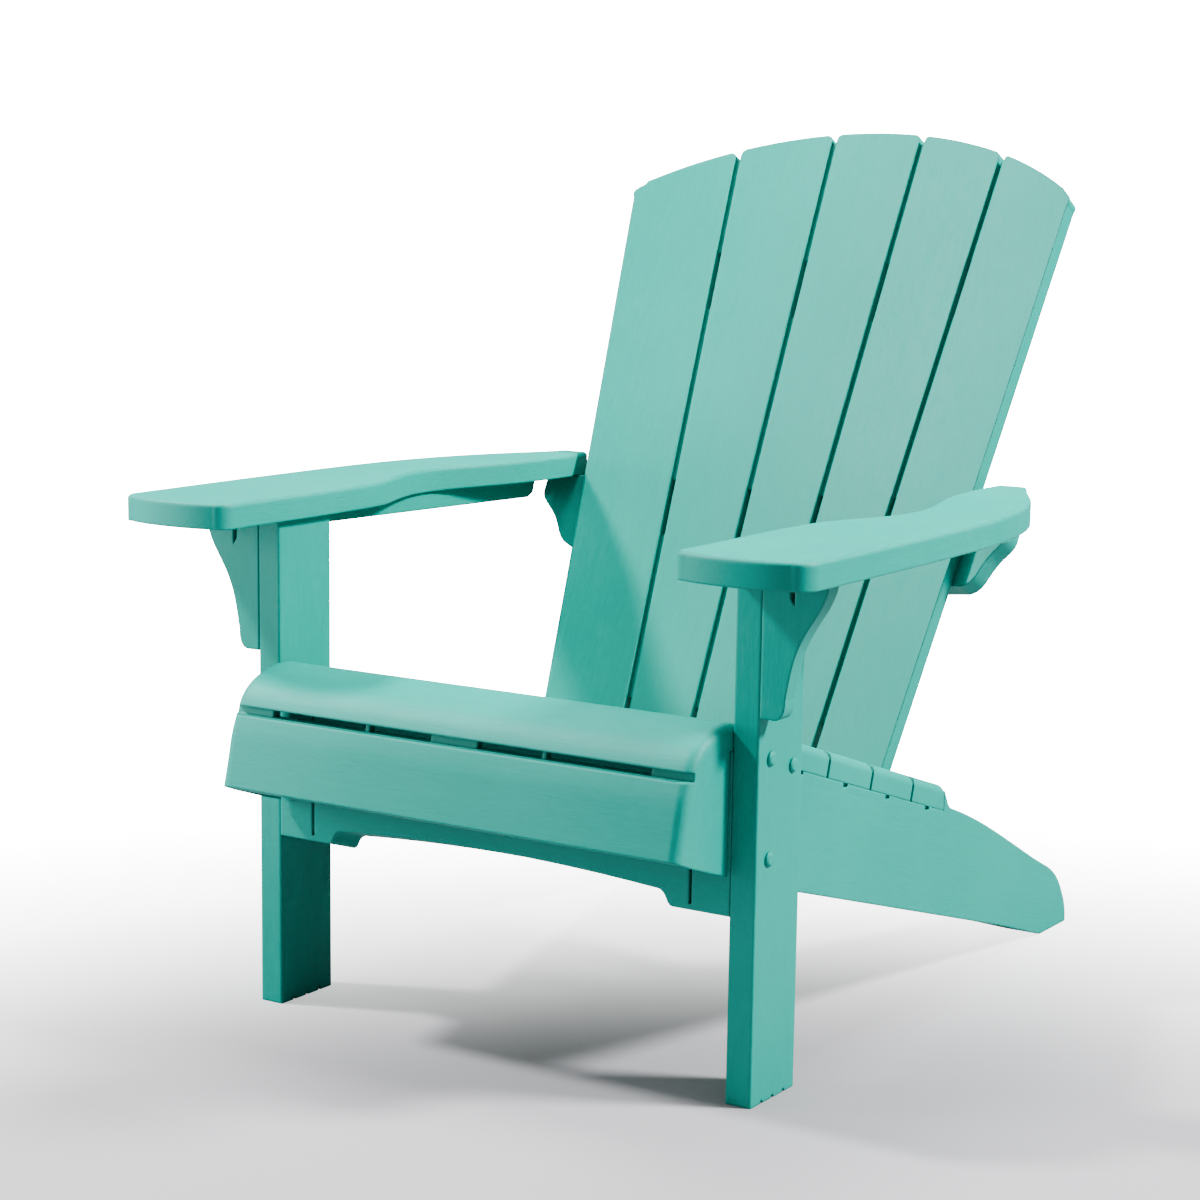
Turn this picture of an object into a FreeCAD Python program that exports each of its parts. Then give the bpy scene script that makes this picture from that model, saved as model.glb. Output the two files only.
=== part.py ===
import FreeCAD, Part
import math
import os
from FreeCAD import Placement, Rotation, Vector

# Adirondack chair in moulded resin. It faces -Y, Z is up, X runs across it.
# Every outline is drawn with y = 0 at the front face of the front legs;
# each finished piece is then shifted so the origin is centred under the chair.

os.makedirs("parts", exist_ok=True)
doc = FreeCAD.newDocument("AdirondackChair")
sheet = doc.addObject("Spreadsheet::Sheet", "Sizes")

sizes = [
    # shared positions
    ("shiftY", -363.2, "front face of the front legs, from the origin"),
    ("slope", 17.5, "fall of the seat and side boards, degrees"),
    ("lean", 27.1, "lean of the backrest from upright, degrees"),
    ("fitGap", 0.3, "clearance between pieces that slide together"),
    # front legs
    ("legInner", 284.0, "inner face of a front leg, from the middle"),
    ("legThick", 29.0, "thickness of a front leg"),
    ("legDepth", 88.0, "front to back size of a front leg"),
    ("legRound", 2.0, "rounding of the upright edges of a leg"),
    ("treadWide", 4.0, "width of a drain notch under a leg"),
    ("treadTall", 3.0, "height of a drain notch under a leg"),
    # arms
    ("armTop", 566.0, "height of the top of the arms"),
    ("armDepth", 27.5, "height of the arm skirt"),
    ("armWall", 4.0, "thickness of the arm skirt and ribs"),
    ("armPlate", 4.5, "thickness of the top of the arm"),
    ("armRound", 4.5, "rounding of the upper edge of the arm"),
    ("armOuter", 418.0, "outer edge of the arms, from the middle"),
    ("armInner", 273.0, "inner edge of the arms at the front, from the middle"),
    ("armFront", -110.0, "front edge of the arms"),
    ("armRear", 598.0, "rear end of the arms"),
    ("keelDrop", 17.0, "drop of the keel rib below the arm skirt at the leg"),
    ("keelThick", 11.0, "thickness of the keel rib"),
    # brackets under the arms
    ("corbelThick", 20.0, "front to back size of an arm bracket"),
    ("corbelLow", 394.0, "height of the lower end of an arm bracket"),
    ("corbelWide", 73.0, "reach of an arm bracket at its top"),
    ("keyDeep", 6.0, "depth of the bracket key in the leg"),
    ("keyWide", 10.0, "width of the bracket key"),
    # side boards, which are also the rear legs
    ("boardThick", 45.0, "thickness of a side board"),
    ("boardSkin", 6.0, "wall of a side board"),
    ("boardRear", 833.0, "rearmost point of a side board"),
    ("footFront", 757.0, "front end of the rear foot"),
    ("lowHeight", 228.3, "height of the lower edge line at y = 0"),
    ("cellLong", 66.0, "length of a hollow in a side board"),
    # seat
    ("seatHigh", 387.6, "height of the seat surface line at y = 0"),
    ("seatSkin", 5.5, "thickness of the seat surface"),
    ("seatWall", 4.3, "thickness of the seat side walls"),
    ("seatEnd", 476.5, "rear edge of the seat"),
    ("flangeDrop", 29.3, "height of the side flange of the seat"),
    ("apronLow", 266.0, "height of the lower edge of the apron"),
    ("slatPitch", 98.0, "spacing of the seat slats"),
    ("firstSlat", 107.0, "position of the first seat groove"),
    ("grooveWide", 7.0, "width of the grooves in seat and backrest"),
    ("grooveDeep", 7.5, "depth of the grooves in seat and backrest"),
    ("slotOuter", 235.0, "outer end of the seat slots"),
    ("slotInner", 29.0, "inner end of the seat slots"),
    ("slotRib", 110.0, "middle of the rib between two seat slots"),
    ("cornerRound", 11.0, "rounding of the front corners of the seat"),
    # backrest
    ("backFoot", 327.6, "where the front surface of the backrest would meet the floor"),
    ("backBend", 868.0, "radius of the backrest across its width"),
    ("backThick", 21.0, "thickness of the backrest"),
    ("backSkin", 5.5, "thickness of a slat face"),
    ("backLow", 197.0, "lower end of the backrest along its lean"),
    ("backTop", 1081.5, "upper end of the backrest along its lean"),
    ("archBend", 473.0, "radius of the arched top of the backrest"),
    ("backHalf", 204.0, "half width of the backrest, carried down to the floor"),
    ("fanOuter", 108.5, "outer groove position, carried down to the floor"),
    ("fanInner", 34.3, "inner groove position, carried down to the floor"),
    # front stretcher
    ("railDepth", 45.5, "front to back size of the front stretcher"),
    ("railFoot", 192.0, "height of the lower corners of the stretcher"),
    ("railArch", 216.0, "height of the stretcher arch at its middle"),
    ("slitPlace", 240.6, "outer side of the nut slits, from the middle"),
    ("slitWide", 3.6, "width of the nut slits"),
    # rear beam and crossbar
    ("beamThick", 28.0, "thickness of the rear beam"),
    ("beamLow", 501.0, "lower edge of the rear beam along the lean"),
    ("beamHalf", 315.5, "half length of the rear beam"),
    ("barThick", 22.0, "thickness of the lower crossbar"),
    ("barLow", 203.0, "lower edge of the crossbar along the lean"),
    ("barHigh", 262.0, "upper edge of the crossbar along the lean"),
    # fixings
    ("boltSize", 8.0, "diameter of a bolt shank"),
    ("domeSize", 15.0, "diameter of a bolt head"),
    ("domeTall", 3.4, "height of a bolt head"),
    ("nutSize", 13.0, "width of a square nut"),
    ("screwSize", 5.0, "diameter of a screw"),
    ("screwHead", 10.0, "diameter of a screw head"),
]
for row, (alias, value, note) in enumerate(sizes, start=1):
    sheet.set("A%d" % row, note)
    sheet.set("B%d" % row, str(value))
    sheet.setAlias("B%d" % row, alias)
doc.recompute()


def mm(alias):
    return float(sheet.get(alias))


slopeTan = math.tan(math.radians(mm("slope")))
leanSin = math.sin(math.radians(mm("lean")))
leanCos = math.cos(math.radians(mm("lean")))
armUnder = mm("armTop") - mm("armDepth")
legTop = mm("armTop") - mm("armPlate") - mm("fitGap")
pieces = []


def slopeLine(y, drop=0.0):
    # height of the seat surface line at y, lowered by drop
    return mm("seatHigh") - slopeTan * y - drop


# Helpers

def drawOutline(sketch, runs):
    # each run is ("line", points) or ("curve", points); the outline closes itself
    start = None
    last = None
    for kind, points in runs:
        spots = [Vector(p[0], p[1], 0) for p in points]
        if last is not None and (spots[0] - last).Length > 1e-6:
            sketch.addGeometry(Part.LineSegment(last, spots[0]), False)
        if start is None:
            start = spots[0]
        if kind == "line":
            for a, b in zip(spots[:-1], spots[1:]):
                sketch.addGeometry(Part.LineSegment(a, b), False)
        else:
            curve = Part.BSplineCurve()
            curve.interpolate(spots)
            sketch.addGeometry(curve, False)
        last = spots[-1]
    if (last - start).Length > 1e-6:
        sketch.addGeometry(Part.LineSegment(last, start), False)


def prism(name, role, runs, base, length):
    # a body padded from an outline on an origin plane, starting at base;
    # YZ_Plane pads along +X, XZ_Plane along +Y, XY_Plane along +Z
    body = doc.addObject("PartDesign::Body", name)
    sketch = body.newObject("Sketcher::SketchObject", name + "Outline")
    plane = [f for f in body.Origin.OriginFeatures if f.Role == role][0]
    sketch.AttachmentSupport = [(plane, "")]
    sketch.MapMode = "FlatFace"
    drawOutline(sketch, runs)
    turned = role == "XZ_Plane"
    sketch.setExpression("AttachmentOffset.Base.z", ("-(%s)" if turned else "%s") % base)
    pad = body.newObject("PartDesign::Pad", name + "Pad")
    pad.Profile = sketch
    pad.setExpression("Length", length)
    pad.Reversed = turned
    return body


def block(name, x, y, z, sizeX, sizeY, sizeZ):
    # a box; each value is an expression on the sheet
    box = doc.addObject("Part::Box", name)
    box.setExpression("Placement.Base.x", str(x))
    box.setExpression("Placement.Base.y", str(y))
    box.setExpression("Placement.Base.z", str(z))
    box.setExpression("Length", str(sizeX))
    box.setExpression("Width", str(sizeY))
    box.setExpression("Height", str(sizeZ))
    return box


def rod(name, radius, length, place, turn):
    # a cylinder from place, its axis turned by turn
    cylinder = doc.addObject("Part::Cylinder", name)
    cylinder.setExpression("Radius", radius)
    cylinder.setExpression("Height", length)
    cylinder.Placement = Placement(Vector(*place), turn)
    return cylinder


def join(name, shapes, refine=True):
    fuse = doc.addObject("Part::MultiFuse", name)
    fuse.Shapes = shapes
    fuse.Refine = refine
    return fuse


def cut(name, base, tools, refine=True):
    result = doc.addObject("Part::Cut", name)
    result.Base = base
    result.Tool = tools[0] if len(tools) == 1 else join(name + "Tools", tools, refine)
    result.Refine = refine
    return result


def common(name, first, second):
    result = doc.addObject("Part::MultiCommon", name)
    result.Shapes = [first, second]
    return result


def roundEdges(name, base, radius, wanted):
    # round every edge whose middle point and direction satisfy wanted
    doc.recompute()
    chosen = []
    for number, edge in enumerate(base.Shape.Edges, start=1):
        middle = edge.valueAt((edge.FirstParameter + edge.LastParameter) / 2)
        run = edge.Vertexes[-1].Point - edge.Vertexes[0].Point
        if wanted(middle, run):
            chosen.append((number, radius, radius))
    if not chosen:
        raise ValueError("no edges to round on " + name)
    result = doc.addObject("Part::Fillet", name)
    result.Base = base
    result.Edges = chosen
    return result


def finish(label, thing, place="chair"):
    # name the piece and put it in the frame of the whole chair
    thing.Label = label
    if place == "chair":
        thing.setExpression("Placement.Base.y", "Sizes.shiftY")
    if place == "leaning":
        thing.Placement = Placement(Vector(0, 0, 0), Rotation(Vector(1, 0, 0), -mm("lean")))
        thing.setExpression("Placement.Base.y", "Sizes.shiftY + Sizes.backFoot")
    pieces.append(thing)
    return thing


alongX = Rotation(Vector(0, 1, 0), 90)
alongMinusX = Rotation(Vector(0, 1, 0), -90)
sides = {"left": 1, "right": -1}


def reach(side, inner, thick):
    # expression for the low x of something between inner and inner + thick
    if side > 0:
        return inner
    return "-(%s) - (%s)" % (inner, thick)


# positions of the three bolts through each leg: y, height
boltSpots = [
    (24.5, slopeLine(24.5, 29.0)),
    (69.0, slopeLine(69.0, 29.0)),
    (24.5, slopeLine(24.5, 130.0)),
]

# strips right across the chair reach 16 mm past the inner face of each leg
acrossStart = "-(Sizes.legInner + 16)"
acrossWide = "2 * (Sizes.legInner + 16)"

# Front legs

for sideName, side in sides.items():
    treads = []
    step = mm("legDepth") / 4.0
    for place in (1, 2, 3):
        middle = step * place
        half = mm("treadWide") / 2
        treads += [(middle - half, 0), (middle - half, mm("treadTall"))]
        treads += [(middle + half, mm("treadTall")), (middle + half, 0)]
    corners = [(0, 0)] + treads + [(mm("legDepth"), 0), (mm("legDepth"), legTop), (0, legTop)]
    post = prism("legPost" + sideName, "YZ_Plane", [("line", corners)],
                 reach(side, "Sizes.legInner", "Sizes.legThick"), "Sizes.legThick")
    post = roundEdges("legEdges" + sideName, post, mm("legRound"),
                      lambda p, run: abs(run.z) > 100 and abs(run.x) < 1)
    holes = []
    for number, (y, z) in enumerate(boltSpots):
        holes.append(rod("legHole%s%d" % (sideName, number), "Sizes.boltSize / 2 + 0.2",
                         "Sizes.legThick + 4", (side * (mm("legInner") - 2), y, z),
                         alongX if side > 0 else alongMinusX))
    slot = block("legSlot" + sideName,
                 reach(side, "Sizes.legInner + Sizes.legThick - Sizes.keyDeep - Sizes.fitGap",
                       "Sizes.keyDeep + 5"),
                 "(Sizes.corbelThick - Sizes.keyWide) / 2 - Sizes.fitGap",
                 "Sizes.corbelLow + 12 - Sizes.fitGap",
                 "Sizes.keyDeep + 5", "Sizes.keyWide + 2 * Sizes.fitGap",
                 "112 + 2 * Sizes.fitGap")
    finish("front_leg_" + sideName, cut("leg" + sideName, post, holes + [slot]))

# Brackets under the arms

for sideName, side in sides.items():
    face = mm("legInner") + mm("legThick")
    low = mm("corbelLow")
    tall = armUnder - mm("fitGap") - low
    wide = mm("corbelWide")
    # outer edge of the bracket: rounded toe, then a long hollow sweep outwards
    toe = [(face + 0.20 * wide, low), (face + 0.30 * wide, low + 0.015 * tall),
           (face + 0.355 * wide, low + 0.06 * tall), (face + 0.375 * wide, low + 0.14 * tall)]
    sweep = [toe[-1], (face + 0.43 * wide, low + 0.295 * tall), (face + 0.50 * wide, low + 0.435 * tall),
             (face + 0.66 * wide, low + 0.61 * tall), (face + 0.86 * wide, low + 0.77 * tall),
             (face + 0.945 * wide, low + 0.86 * tall), (face + wide, low + tall)]
    top = low + tall
    step = [(face + wide, top), (face + 0.83 * wide, top), (face + 0.80 * wide, top - 5),
            (face + 0.49 * wide, top - 5), (face + 0.485 * wide, top - 31),
            (face + 0.42 * wide, top - 24), (face + 0.40 * wide, top - 5),
            (face + 0.38 * wide, top), (face + 0.3, top), (face + 0.3, low)]
    runs = [("curve", toe), ("curve", sweep), ("line", step)]
    runs = [(kind, [(side * p[0], p[1]) for p in points]) for kind, points in runs]
    panel = prism("corbelPanel" + sideName, "XZ_Plane", runs, "0", "Sizes.corbelThick")
    key = block("corbelKey" + sideName,
                reach(side, "Sizes.legInner + Sizes.legThick - Sizes.keyDeep", "Sizes.keyDeep + 2"),
                "(Sizes.corbelThick - Sizes.keyWide) / 2", "Sizes.corbelLow + 12",
                "Sizes.keyDeep + 2", "Sizes.keyWide", "112")
    finish("corbel_" + sideName, join("corbel" + sideName, [panel, key]))

# Arms

def insetPlan(runs, gap, side):
    # points of a closed plan drawn inwards by gap; those too near the plan are dropped
    border = []
    for kind, points in runs:
        spots = [Vector(p[0], p[1], 0) for p in points]
        if kind == "line":
            border += spots[:-1]
            continue
        curve = Part.BSplineCurve()
        curve.interpolate(spots)
        first, last = curve.FirstParameter, curve.LastParameter
        count = max(4, int(curve.length() / 7))
        border += [curve.value(first + (last - first) * n / count) for n in range(count)]
    total = len(border)
    inside = []
    for number, here in enumerate(border):
        run = border[(number + 1) % total] - border[number - 1]
        moved = here + Vector(-run.y, run.x, 0).normalize() * gap * side
        nearest = min(moved.distanceToLine(border[k], border[(k + 1) % total] - border[k])
                      if 0 < (moved - border[k]).dot(border[(k + 1) % total] - border[k])
                      < (border[(k + 1) % total] - border[k]).Length ** 2
                      else (moved - border[k]).Length for k in range(total))
        if nearest > gap * 0.93:
            if not inside or (moved - inside[-1]).Length > 1.5:
                inside.append(moved)
    return [(p.x, p.y) for p in inside]


for sideName, side in sides.items():
    outer = mm("armOuter")
    inner = mm("armInner")
    front = mm("armFront")
    rear = mm("armRear")
    long = rear - front

    def along(part):
        return front + part * long

    # plan of the arm: bowed front, straight outer edge that sweeps in behind,
    # a step in the inner edge, and a narrow square rear end
    frontEdge = [(inner + 14, front + 6), (inner + 35, front + 0.5), (inner + 70, front - 2.5),
                 (inner + 105, front + 0.5), (outer - 18, front + 7.5)]
    frontCorner = [frontEdge[-1], (outer - 8, front + 11.5), (outer - 2, front + 20), (outer, front + 32)]
    outerEdge = [frontCorner[-1], (outer + 0.6, along(0.28)), (outer - 1, along(0.45)),
                 (outer - 7, along(0.61)), (outer - 25, along(0.75)), (outer - 53, along(0.86)),
                 (outer - 88, along(0.955)), (outer - 99, along(0.988))]
    rearEnd = [outerEdge[-1], (outer - 102, along(0.997)), (outer - 108, rear), (inner + 11, rear),
               (inner + 7, rear - 3)]
    innerEdge = [rearEnd[-1], (inner + 6, along(0.90)), (inner + 15, along(0.79)),
                 (inner + 33, along(0.69)), (inner + 43, along(0.615)), (inner + 40, along(0.54)),
                 (inner + 25, along(0.475)), (inner + 8, along(0.41)), (inner + 2, along(0.34)),
                 (inner, along(0.20)), (inner, front + 24)]
    innerCorner = [innerEdge[-1], (inner + 1.5, front + 16), (inner + 6, front + 9.5), frontEdge[0]]
    runs = [("curve", frontEdge), ("curve", frontCorner), ("curve", outerEdge),
            ("line", rearEnd), ("curve", innerEdge), ("curve", innerCorner)]
    runs = [(kind, [(side * p[0], p[1]) for p in points]) for kind, points in runs]
    slab = prism("armSlab" + sideName, "XY_Plane", runs, "Sizes.armTop - Sizes.armDepth",
                 "Sizes.armDepth")
    slab = roundEdges("armEdges" + sideName, slab, mm("armRound"),
                      lambda p, run: abs(p.z - mm("armTop")) < 0.01)
    # hollow underside: the same plan, drawn in by the skirt thickness
    inset = insetPlan(runs, mm("armWall"), side)
    hollow = prism("armHollow" + sideName, "XY_Plane", [("line", inset)],
                   "Sizes.armTop - Sizes.armDepth - 5", "Sizes.armDepth + 5 - Sizes.armPlate")
    # ribs across the hollow, a socket round the leg and a pad over the rear beam
    ribs = []
    ribSpots = [-70.0, 150.0, 215.0, 280.0, 345.0, 410.0, 475.0]
    for number, y in enumerate(ribSpots):
        ribs.append(block("armRib%s%d" % (sideName, number), reach(side, "250", "200"), y,
                          "Sizes.armTop - Sizes.armDepth + 3", 200, "Sizes.armWall - 1",
                          "Sizes.armDepth - 3 - Sizes.armPlate / 2"))
    ribs.append(block("armSocketFront" + sideName, reach(side, "250", "200"),
                      "-Sizes.armWall - Sizes.fitGap", "Sizes.armTop - Sizes.armDepth", 200,
                      "Sizes.armWall", "Sizes.armDepth - Sizes.armPlate / 2"))
    ribs.append(block("armSocketRear" + sideName, reach(side, "250", "200"),
                      "Sizes.legDepth + Sizes.fitGap", "Sizes.armTop - Sizes.armDepth", 200,
                      "Sizes.armWall", "Sizes.armDepth - Sizes.armPlate / 2"))
    ribs.append(block("armSocketSide" + sideName,
                      reach(side, "Sizes.legInner + Sizes.legThick + Sizes.fitGap", "Sizes.armWall"),
                      "Sizes.corbelThick + 4", "Sizes.armTop - Sizes.armDepth + 2",
                      "Sizes.armWall", "Sizes.legDepth - Sizes.corbelThick - 3",
                      "Sizes.armDepth - 2 - Sizes.armPlate / 2"))
    ribs.append(block("armPad" + sideName, reach(side, "250", "200"), "Sizes.armRear - 46",
                      "Sizes.armTop - Sizes.armDepth", 200, 44,
                      "Sizes.armDepth - Sizes.armPlate / 2"))
    # keel rib: hangs below the skirt between the leg and the rear beam
    keelTop = mm("armTop") - mm("armPlate") / 2
    keelRuns = [("line", [(mm("legDepth") + 6, armUnder - mm("keelDrop")),
                          (525, armUnder - mm("keelDrop") - 9), (536, armUnder - mm("keelDrop") - 4),
                          (540, armUnder - 8), (540, keelTop), (mm("legDepth") + 6, keelTop)])]
    keel = prism("armKeel" + sideName, "YZ_Plane", keelRuns,
                 reach(side, "Sizes.legInner + Sizes.legThick + 8.5", "Sizes.keelThick"),
                 "Sizes.keelThick")
    space = cut("armSpace" + sideName, hollow, ribs, refine=False)
    shell = cut("armShell" + sideName, slab, [space], refine=False)
    shell.setExpression("Placement.Base.y", "Sizes.shiftY")
    keel.setExpression("Placement.Base.y", "Sizes.shiftY")
    whole = doc.addObject("Part::Fuse", "arm" + sideName)
    whole.Base = shell
    whole.Tool = keel
    finish("arm_" + sideName, whole, "placed")

# Side boards

lowSlope = 0.298
boardFront = mm("railDepth") + mm("fitGap")
seatRear = mm("seatEnd")
rearY = mm("boardRear")
topDrop = mm("seatSkin") / math.cos(math.radians(mm("slope"))) + 0.1
tabSpots = [mm("firstSlat") + mm("slatPitch") * n + 32.0 for n in range(4)]
# middle of the crossbar, behind the foot of the backrest
crossY = mm("backFoot") + leanSin * (mm("barLow") + mm("barHigh")) / 2
crossZ = leanCos * (mm("barLow") + mm("barHigh")) / 2


def lowLine(y):
    # height of the lower edge of a side board at y
    return max(mm("lowHeight") - lowSlope * y, 0.0)


def topLine(y):
    # height of the upper edge of a side board at y
    if y < seatRear:
        return slopeLine(y, topDrop)
    return slopeLine(seatRear, topDrop + 24.5) - 0.467 * (y - seatRear - 20)


def leaningBlock(middleY, middleZ, thick, tall):
    # outline of a rectangle that leans with the backrest
    corners = []
    for a, b in ((-1, -1), (1, -1), (1, 1), (-1, 1)):
        along = b * tall / 2
        across = a * thick / 2
        corners.append((middleY + along * leanSin + across * leanCos,
                        middleZ + along * leanCos - across * leanSin))
    return corners


slopeCos = math.cos(math.radians(mm("slope")))
slopeSin = math.sin(math.radians(mm("slope")))
bandHalf = mm("grooveWide") / 2 + 4.5
bandDeep = mm("grooveDeep") + 4.5


def grooveBox(y, halfWide, top, depth):
    # outline of a rectangle square to the seat surface at y
    z = slopeLine(y)
    corners = []
    for a, b in ((-halfWide, top), (halfWide, top), (halfWide, -depth), (-halfWide, -depth)):
        corners.append((y + a * slopeCos + b * slopeSin, z - a * slopeSin + b * slopeCos))
    return corners


for sideName, side in sides.items():
    topRear = slopeLine(seatRear, topDrop)
    step = [(seatRear, topRear), (seatRear + 5.5, topRear - 8.5), (seatRear + 12, topRear - 19),
            (seatRear + 20, topRear - 24.5)]
    heel = [step[-1], (634, 148.5), (693, 119.5), (rearY - 78.5, 90), (rearY - 47, 74.7),
            (rearY - 24, 55.5), (rearY - 13, 40.4), (rearY - 5, 26), (rearY, 0)]
    runs = [("line", [(boardFront, lowLine(boardFront)), (boardFront, topLine(boardFront)), step[0]]),
            ("curve", step), ("curve", heel),
            ("line", [(rearY, 0), (mm("footFront"), 0), (645, lowLine(645))])]
    board = prism("boardSlab" + sideName, "YZ_Plane", runs,
                  reach(side, "Sizes.legInner - Sizes.boardThick", "Sizes.boardThick"),
                  "Sizes.boardThick")
    tools = []
    # rebate that takes the side flange of the seat
    start = boardFront - 1
    low = mm("flangeDrop") + mm("fitGap")
    rebate = [("line", [(start, slopeLine(start, low)), (start, slopeLine(start) + 20),
                        (seatRear + 0.4, slopeLine(seatRear) + 20),
                        (seatRear + 0.4, slopeLine(seatRear, low))])]
    tools.append(prism("boardRebate" + sideName, "YZ_Plane", rebate,
                       reach(side, "Sizes.legInner - Sizes.seatWall - 2 * Sizes.fitGap", "10"), "10"))
    # notches for the thicker bands under the seat grooves
    for number in range(4):
        y = mm("firstSlat") + mm("slatPitch") * number
        tools.append(prism("bandNotch%s%d" % (sideName, number), "YZ_Plane",
                           [("line", grooveBox(y, bandHalf + mm("fitGap"), 12, bandDeep + mm("fitGap")))],
                           reach(side, "Sizes.legInner - Sizes.boardThick - 1",
                                 "Sizes.boardThick + 2"), "Sizes.boardThick + 2"))
    # holes for the snap hooks of the seat
    for number, y in enumerate(tabSpots):
        tools.append(block("snapHole%s%d" % (sideName, number),
                           reach(side, "Sizes.legInner - 9", "12"), y - 5,
                           slopeLine(y, low) - 4.5, 12, 10, 6))
    # hollows open to the inside, parted by ribs
    wall = mm("boardSkin")
    cell = boardFront + wall + 46
    number = 0
    while cell + mm("cellLong") < rearY - 80:
        endCell = cell + mm("cellLong")
        poly = [(cell, lowLine(cell) + wall), (endCell, lowLine(endCell) + wall),
                (endCell, topLine(endCell) - wall - 1), (cell, topLine(cell) - wall - 1)]
        if cell < seatRear + 20 and endCell > seatRear - 6:
            poly[3] = (cell, topLine(endCell) - wall + 0.467 * (endCell - cell) - 1)
        nearBar = cell - wall < crossY + 30 and endCell + wall > crossY - 30
        if not nearBar:
            tools.append(prism("boardCell%s%d" % (sideName, number), "YZ_Plane", [("line", poly)],
                               reach(side, "Sizes.legInner - Sizes.boardThick - 1",
                                     "Sizes.boardThick - Sizes.boardSkin - Sizes.seatWall"),
                               "Sizes.boardThick - Sizes.boardSkin - Sizes.seatWall"))
        number += 1
        cell = endCell + wall
    # bolt hole, and the mortise for the crossbar tenon
    y, z = boltSpots[1]
    tools.append(rod("boardHole" + sideName, "Sizes.boltSize / 2 + 0.2", "Sizes.boardThick + 4",
                     (side * (mm("legInner") + 2), y, z), alongMinusX if side > 0 else alongX))
    tools.append(prism("boardMortise" + sideName, "YZ_Plane",
                       [("line", leaningBlock(crossY, crossZ, 14 + 2 * mm("fitGap"),
                                              40 + 2 * mm("fitGap")))],
                       reach(side, "Sizes.legInner - Sizes.boardThick - 1", "13"), "13"))
    finish("stringer_" + sideName, cut("board" + sideName, board, tools))

# Seat

high = mm("seatHigh")
low = mm("apronLow")
noseOuter = [(14, slopeLine(14)), (-4, high - 1.4), (-24, high - 3.2), (-42, high - 8.6),
             (-60, high - 18.5), (-70.5, high - 30), (-76.5, high - 41), (-80.5, high - 50),
             (-85, high - 60.5), (-92, low + 35), (-98.5, low + 8), (-100.5, low)]
noseInner = [(14, slopeLine(14, 5.8)), (-4, high - 7.0), (-23, high - 8.6), (-40, high - 13.6),
             (-56.5, high - 22.5), (-66, high - 33), (-71.5, high - 43), (-75.5, high - 52),
             (-80, high - 62.0), (-87, low + 34), (-93.3, low + 9), (-94.6, low + 4)]
sideLow = [(-100.5, low), (-76, low - 9.5), (-27, low - 26), (-5, low - 32.5),
           (-5, slopeLine(-5, mm("flangeDrop"))), (seatRear, slopeLine(seatRear, mm("flangeDrop"))),
           (seatRear, slopeLine(seatRear)), noseOuter[0]]
outerShape = prism("seatBlock", "YZ_Plane", [("curve", noseOuter), ("line", sideLow)],
                   "-(Sizes.legInner - Sizes.fitGap)", "2 * (Sizes.legInner - Sizes.fitGap)")
outerShape = roundEdges(
    "seatCorners", outerShape, mm("cornerRound"),
    lambda p, run: (abs(abs(p.x) - mm("legInner") + mm("fitGap")) < 0.01 and p.y < 10
                    and abs(run.z) > 60 and abs(run.y) > 60))
innerRun = [noseInner[-1], (-84, low + 4), (-84, low - 80), (seatRear - 5, -20),
            (seatRear - 5, slopeLine(seatRear - 5, 5.8)), noseInner[0]]
hollow = prism("seatHollow", "YZ_Plane", [("curve", noseInner), ("line", innerRun)],
               "-(Sizes.legInner - Sizes.fitGap - Sizes.seatWall)",
               "2 * (Sizes.legInner - Sizes.fitGap - Sizes.seatWall)")
shell = cut("seatShell", outerShape, [hollow])
# thicker bands of material behind each groove
bands = []
innerWide = "2 * (Sizes.legInner - Sizes.fitGap - Sizes.seatWall) + 2"
innerStart = "-(Sizes.legInner - Sizes.fitGap - Sizes.seatWall) - 1"
deep = mm("grooveDeep")
half = mm("grooveWide") / 2
grooveSpots = [mm("firstSlat") + mm("slatPitch") * n for n in range(4)]
for number, y in enumerate(grooveSpots):
    bands.append(prism("seatBand%d" % number, "YZ_Plane",
                       [("line", grooveBox(y, bandHalf, -2, bandDeep))], innerStart, innerWide))
bands.append(prism("seatBandFront", "YZ_Plane",
                   [("line", [(-68.5, high - 32), (-60, high - 38), (-63.5, high - 56),
                              (-75.5, high - 57)])], innerStart, innerWide))
seatBody = join("seatBanded", [shell] + bands)
tools = []
for number, y in enumerate(grooveSpots):
    tools.append(prism("seatGroove%d" % number, "YZ_Plane", [("line", grooveBox(y, half, 20, deep))],
                       acrossStart, acrossWide))
frontGroove = [(-90, high - 37), (-68.5, high - 39), (-70.5, high - 47.5), (-92, high - 49)]
tools.append(prism("seatFrontGroove", "YZ_Plane", [("line", frontGroove)], acrossStart, acrossWide))
# slots through the bottom of each groove, clear of the side boards and the middle rib
slots = [("Sizes.slotInner", "Sizes.slotRib - 2.5 - Sizes.slotInner"),
         ("Sizes.slotRib + 2.5", "Sizes.slotOuter - Sizes.slotRib - 2.5")]
for number, (start, wide) in enumerate(slots):
    for sideName, side in sides.items():
        tools.append(block("seatFrontSlot%s%d" % (sideName, number), reach(side, start, wide), -92,
                           "Sizes.seatHigh - 47.3", wide, 45, 7))
        for place, y in enumerate(grooveSpots):
            tools.append(prism("seatSlot%s%d_%d" % (sideName, number, place), "YZ_Plane",
                               [("line", grooveBox(y, half - 0.4, 5, 30))],
                               reach(side, start, wide), wide))
# side flange between the tabs is open at each groove
for number, y in enumerate(grooveSpots[1:]):
    for sideName, side in sides.items():
        tools.append(prism("seatTabGap%s%d" % (sideName, number), "YZ_Plane",
                           [("line", grooveBox(y, half - 1.2, 5, 60))],
                           reach(side, "Sizes.legInner - 5", "10"), "10"))
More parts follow.
